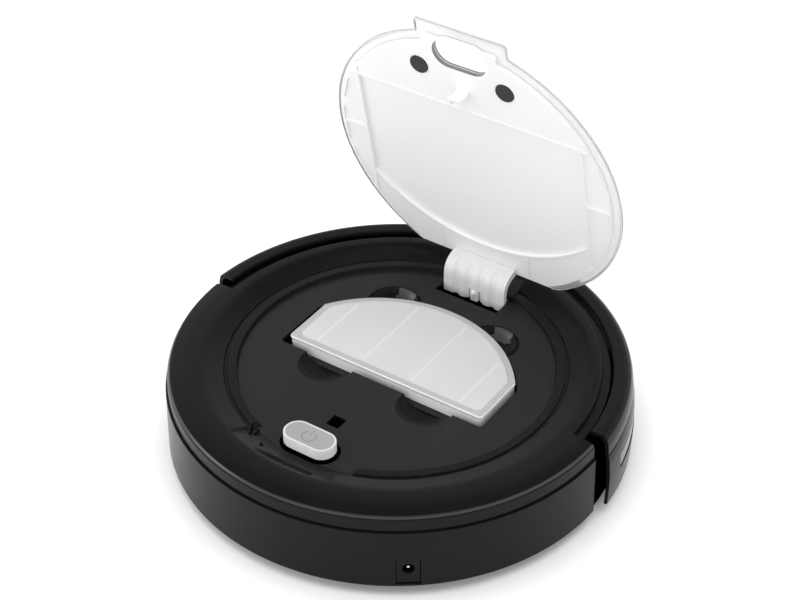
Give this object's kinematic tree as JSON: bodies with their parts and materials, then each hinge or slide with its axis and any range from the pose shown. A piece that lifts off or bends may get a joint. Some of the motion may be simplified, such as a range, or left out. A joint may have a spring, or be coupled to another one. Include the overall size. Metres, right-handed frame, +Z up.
{
  "type": "robot vacuum",
  "caption": "Round robot vacuum cleaner with its clear-edged white top lid hinged open over a lift-out dust box, a pill-shaped power button and a sprung front bumper.",
  "frame": {"origin": "on the floor under the centre of the round body", "axes": "+Z up, +Y towards the bumper and the lid hinge, +X to the right seen from above with the bumper away"},
  "size_m": [0.3152, 0.3109, 0.2755],
  "materials": {
    "body_black": "satin",
    "inner_black": "matte",
    "lid_white": "satin",
    "lid_clear": "clear gloss",
    "button_grey": "satin",
    "box_frost": "frosted",
    "rubber": "matte",
    "tyre": "matte",
    "bristle": "soft",
    "steel": "brushed",
    "smoke": "gloss",
    "board": "satin",
    "cells": "shrink wrap",
    "filter": "matte"
  },
  "bodies": {
    "chassis": {"base_shell": "body_black", "top_cover": "body_black", "battery_cover": "inner_black", "battery_screw_right": "steel", "battery_screw_left": "steel", "battery_pack": "cells", "main_board": "board", "button_switch": "inner_black", "dc_jack": "inner_black", "dc_jack_pin": "steel", "suction_duct": "inner_black", "mouth_lip": "rubber", "fan_housing": "inner_black", "fan_motor": "steel", "hinge_pin": "steel", "lid_spring": "steel", "bumper_switch_right": "inner_black", "bumper_switch_left": "inner_black", "suspension_spring_right": "steel", "suspension_spring_left": "steel", "side_brush_motor_right": "inner_black", "side_brush_motor_left": "inner_black", "cliff_sensor_front_right": "smoke", "cliff_sensor_front_left": "smoke", "cliff_sensor_side_right": "smoke", "cliff_sensor_side_left": "smoke"},
    "impeller": {"fan_impeller": "button_grey"},
    "lid": {"lid_window": "lid_clear", "lid_panel": "lid_white", "lid_pad_right": "rubber", "lid_pad_left": "rubber", "lid_arm": "lid_white"},
    "dust_box_unit": {"dust_box": "box_frost", "dust_box_cover": "box_frost", "filter_frame": "inner_black", "hepa_filter": "filter"},
    "flap": {"inlet_flap": "rubber"},
    "button": {"power_button": "lid_white", "power_button_cap": "button_grey"},
    "bumper_unit": {"bumper": "body_black", "bumper_window": "smoke"},
    "caster_swivel": {"caster_fork": "inner_black", "caster_axle": "steel"},
    "caster_roller": {"caster_wheel": "button_grey"},
    "drive_arm_right": {"drive_gearbox_right": "inner_black", "drive_motor_right": "steel"},
    "drive_wheel_right": {"wheel_hub_right": "inner_black", "wheel_tyre_right": "tyre"},
    "brush_right": {"side_brush_right": "inner_black", "side_brush_bristles_right": "bristle"},
    "drive_arm_left": {"drive_gearbox_left": "inner_black", "drive_motor_left": "steel"},
    "drive_wheel_left": {"wheel_hub_left": "inner_black", "wheel_tyre_left": "tyre"},
    "brush_left": {"side_brush_left": "inner_black", "side_brush_bristles_left": "bristle"}
  },
  "joints": [
    {"name": "lid_hinge", "type": "hinge", "parent": "chassis", "child": "lid", "pos_m": [0, 0.109, 0.054], "axis": [1, 0, 0], "range_deg": [0, 77.7]},
    {"name": "dust_box_lift", "type": "slide", "parent": "chassis", "child": "dust_box_unit", "axis": [0, 0, -1], "range_m": [-0.06, 0]},
    {"name": "flap_swing", "type": "hinge", "parent": "dust_box_unit", "child": "flap", "pos_m": [0, 0.0504, 0.0356], "axis": [1, 0, 0], "range_deg": [-70, 0]},
    {"name": "button_press", "type": "slide", "parent": "chassis", "child": "button", "axis": [0, 0, -1], "range_m": [0, 0.0013], "stiffness_N_per_m": 1200, "springref_m": -0.001},
    {"name": "bumper_press", "type": "slide", "parent": "chassis", "child": "bumper_unit", "axis": [0, -1, 0], "range_m": [0, 0.004], "stiffness_N_per_m": 300, "springref_m": -0.004},
    {"name": "fan_spin", "type": "hinge", "parent": "chassis", "child": "impeller", "pos_m": [0, -0.045, 0.031], "axis": [0, 1, 0], "continuous": true},
    {"name": "caster_turn", "type": "hinge", "parent": "chassis", "child": "caster_swivel", "pos_m": [0, 0.112, 0.03], "axis": [0, 0, 1], "continuous": true},
    {"name": "caster_roll", "type": "hinge", "parent": "caster_swivel", "child": "caster_roller", "pos_m": [0, 0.106, 0.011], "axis": [1, 0, 0], "continuous": true},
    {"name": "suspension_right", "type": "hinge", "parent": "chassis", "child": "drive_arm_right", "pos_m": [0.094, 0.046, 0.034], "axis": [1, 0, 0], "range_deg": [0, 18], "stiffness_Nm_per_rad": 0.3, "springref_deg": 25.78},
    {"name": "wheel_roll_right", "type": "hinge", "parent": "drive_arm_right", "child": "drive_wheel_right", "pos_m": [0.112, 0, 0.027], "axis": [1, 0, 0], "continuous": true},
    {"name": "brush_spin_right", "type": "hinge", "parent": "chassis", "child": "brush_right", "pos_m": [0.07, 0.072, 0.005], "axis": [0, 0, 1], "continuous": true},
    {"name": "suspension_left", "type": "hinge", "parent": "chassis", "child": "drive_arm_left", "pos_m": [-0.094, 0.046, 0.034], "axis": [1, 0, 0], "range_deg": [0, 18], "stiffness_Nm_per_rad": 0.3, "springref_deg": 25.78},
    {"name": "wheel_roll_left", "type": "hinge", "parent": "drive_arm_left", "child": "drive_wheel_left", "pos_m": [-0.112, 0, 0.027], "axis": [1, 0, 0], "continuous": true},
    {"name": "brush_spin_left", "type": "hinge", "parent": "chassis", "child": "brush_left", "pos_m": [-0.07, 0.072, 0.005], "axis": [0, 0, 1], "continuous": true}
  ]
}
